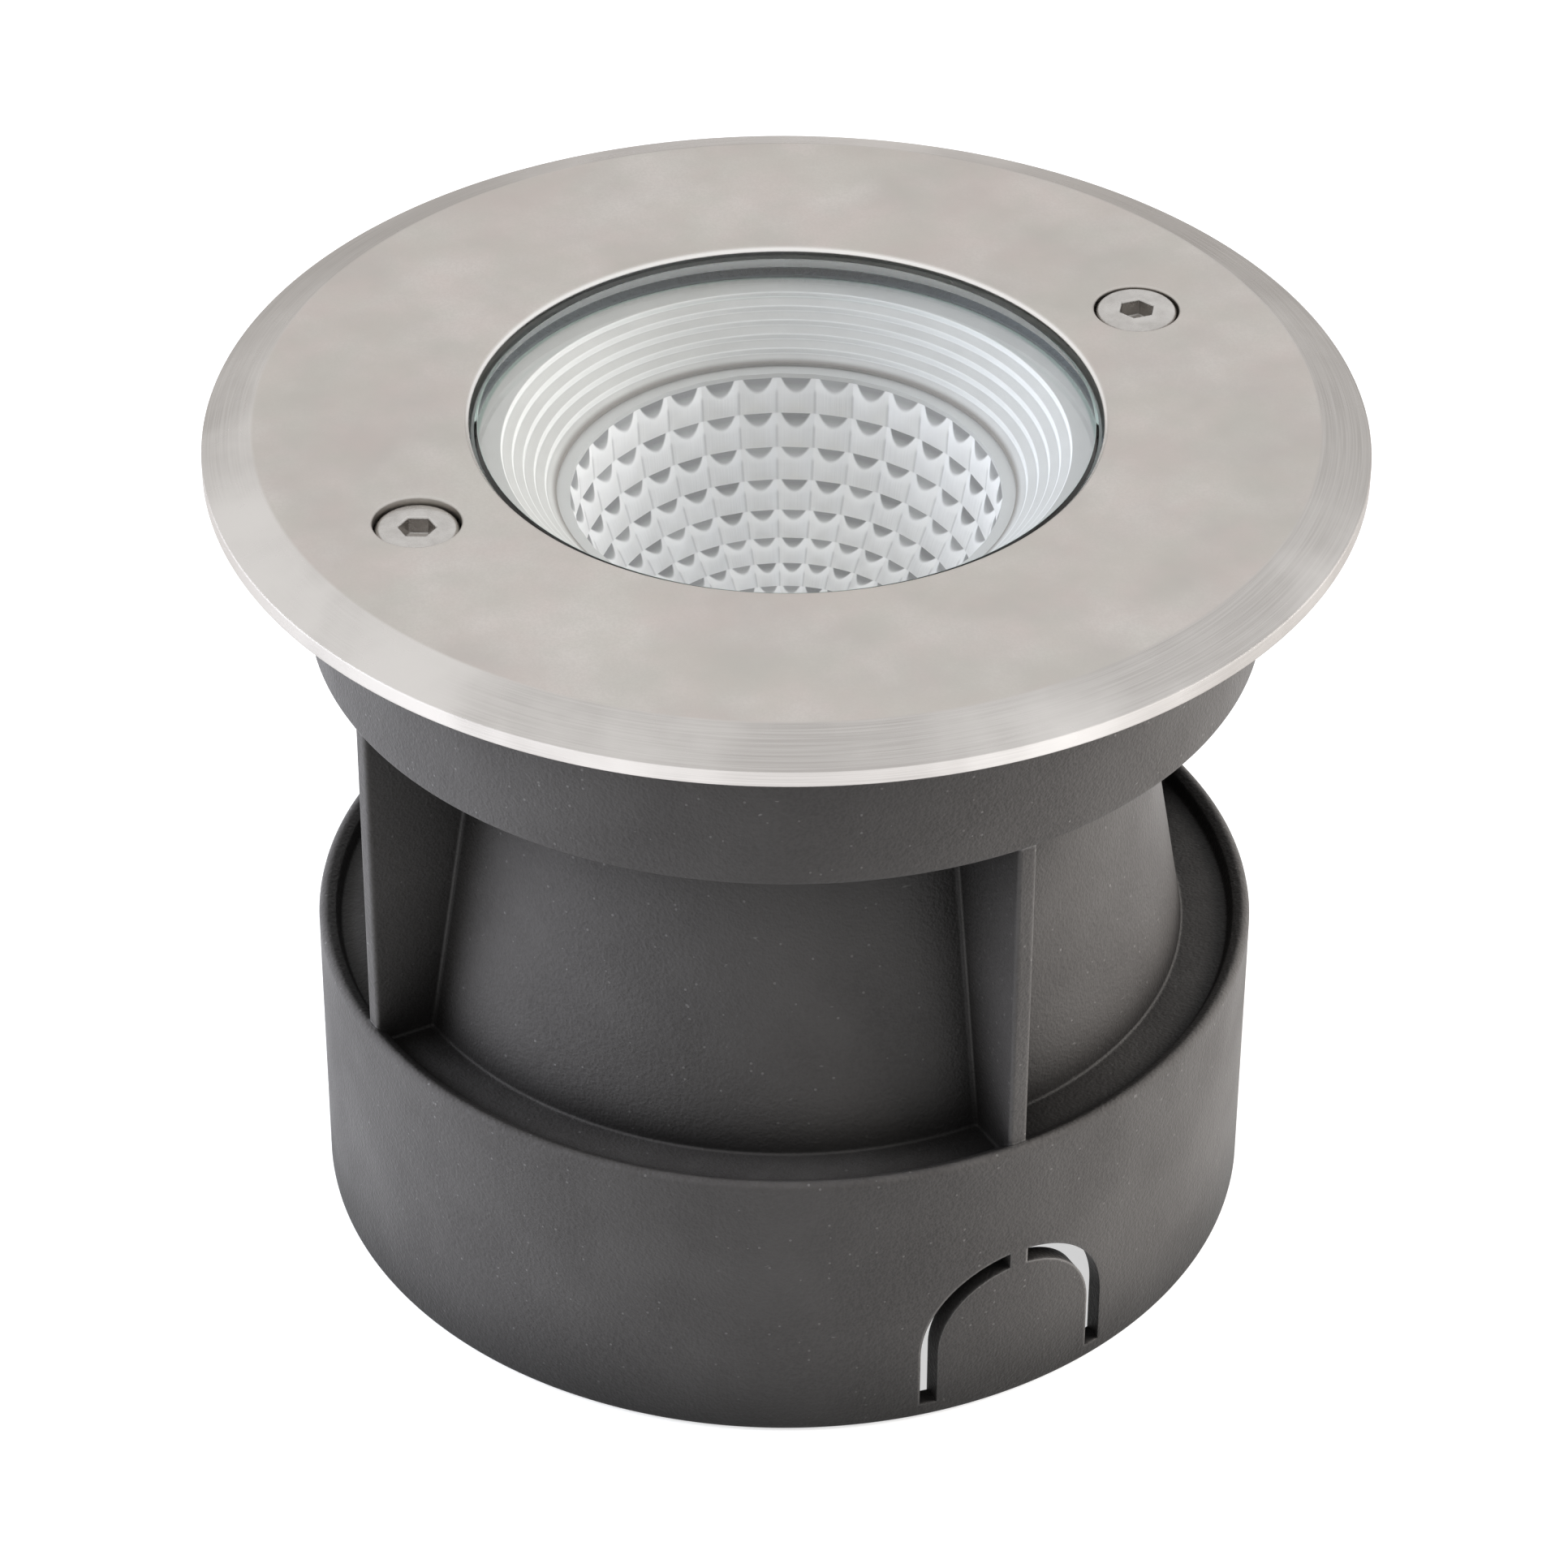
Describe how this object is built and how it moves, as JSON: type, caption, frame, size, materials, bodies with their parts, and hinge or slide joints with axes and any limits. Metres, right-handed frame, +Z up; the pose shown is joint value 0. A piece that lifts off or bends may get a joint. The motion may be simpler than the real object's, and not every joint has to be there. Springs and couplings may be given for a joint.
{
  "type": "in-ground well light",
  "caption": "Round in-ground well light: bevelled stainless trim ring, recessed glass over a faceted reflector, in a ribbed plastic mounting sleeve with cable knockouts.",
  "frame": {"origin": "centre of the sleeve's bottom rim, on the plane it stands on", "axes": "+Z up through the glass, +X through the two face screws, -Y through the cable knockout that the picture shows"},
  "size_m": [0.145, 0.145, 0.1143],
  "materials": {
    "sleeve_plastic": "fine moulded texture, charcoal",
    "stainless": "satin face, turned bevel and edge",
    "screw_steel": "plain satin stainless",
    "brass": "machined",
    "glass": "clear toughened glass with a green edge",
    "seal_rubber": "black silicone",
    "baffle_paint": "fine silver-grey paint",
    "reflector_metal": "vacuum-metallised facets",
    "cast_aluminium": "die-cast, shot-blasted",
    "pad_silicone": "soft grey thermal pad",
    "board_ceramic": "white ceramic",
    "phosphor": "yellow silicone fill",
    "white_plastic": "white moulded plastic",
    "driver_plastic": "white moulded case",
    "potting": "dark casting compound",
    "zinc_steel": "zinc plated",
    "lead_red": "smooth insulation",
    "lead_black": "smooth insulation",
    "lead_brown": "smooth insulation",
    "lead_blue": "smooth insulation",
    "lead_green": "smooth insulation, yellow stripe",
    "black_nylon": "smooth moulded nylon"
  },
  "bodies": {
    "sleeve": {"mounting_sleeve": "sleeve_plastic", "threaded_inserts": "brass"},
    "luminaire": {"trim_ring": "stainless", "glass_lens": "glass", "lens_gasket": "seal_rubber", "baffle_ring": "baffle_paint", "reflector": "reflector_metal", "housing": "cast_aluminium", "ring_screws": "zinc_steel", "thermal_pad": "pad_silicone", "led_board": "board_ceramic", "led_phosphor": "phosphor", "led_holder": "white_plastic", "holder_screws": "zinc_steel", "driver_case": "driver_plastic", "driver_potting": "potting", "driver_pad": "pad_silicone", "driver_screws": "zinc_steel", "output_lead_red": "lead_red", "output_lead_black": "lead_black", "supply_lead_brown": "lead_brown", "supply_lead_blue": "lead_blue", "terminal_block": "white_plastic", "terminal_screws": "zinc_steel", "earth_screw": "zinc_steel", "earth_lead": "lead_green", "rear_cover": "cast_aluminium", "cover_seal": "seal_rubber", "cover_screws": "zinc_steel", "breather_vent": "black_nylon", "gland_body": "black_nylon", "gland_locknut": "black_nylon", "gland_seal": "seal_rubber", "gland_nut": "black_nylon"},
    "seal_left": {"screw_seal_left": "seal_rubber"},
    "screw_left": {"face_screw_left": "screw_steel"},
    "seal_right": {"screw_seal_right": "seal_rubber"},
    "screw_right": {"face_screw_right": "screw_steel"}
  },
  "joints": [
    {"name": "luminaire_lift", "type": "slide", "parent": "sleeve", "child": "luminaire", "axis": [0, 0, 1], "range_m": [0, 0.1]},
    {"name": "screw_left_travel", "type": "slide", "parent": "luminaire", "child": "seal_left", "axis": [0, 0, 1], "range_m": [0, 0.011]},
    {"name": "screw_left_turn", "type": "hinge", "parent": "seal_left", "child": "screw_left", "pos_m": [-0.051, 0, 0.111], "axis": [0, 0, 1], "range_deg": [0, 3960]},
    {"name": "screw_right_travel", "type": "slide", "parent": "luminaire", "child": "seal_right", "axis": [0, 0, 1], "range_m": [0, 0.011]},
    {"name": "screw_right_turn", "type": "hinge", "parent": "seal_right", "child": "screw_right", "pos_m": [0.051, 0, 0.111], "axis": [0, 0, 1], "range_deg": [0, 3960]}
  ],
  "couplings": [
    {"joint": "screw_left_turn", "follows": "screw_left_travel", "rad_per_m": 6283.2},
    {"joint": "screw_right_turn", "follows": "screw_right_travel", "rad_per_m": 6283.2}
  ]
}
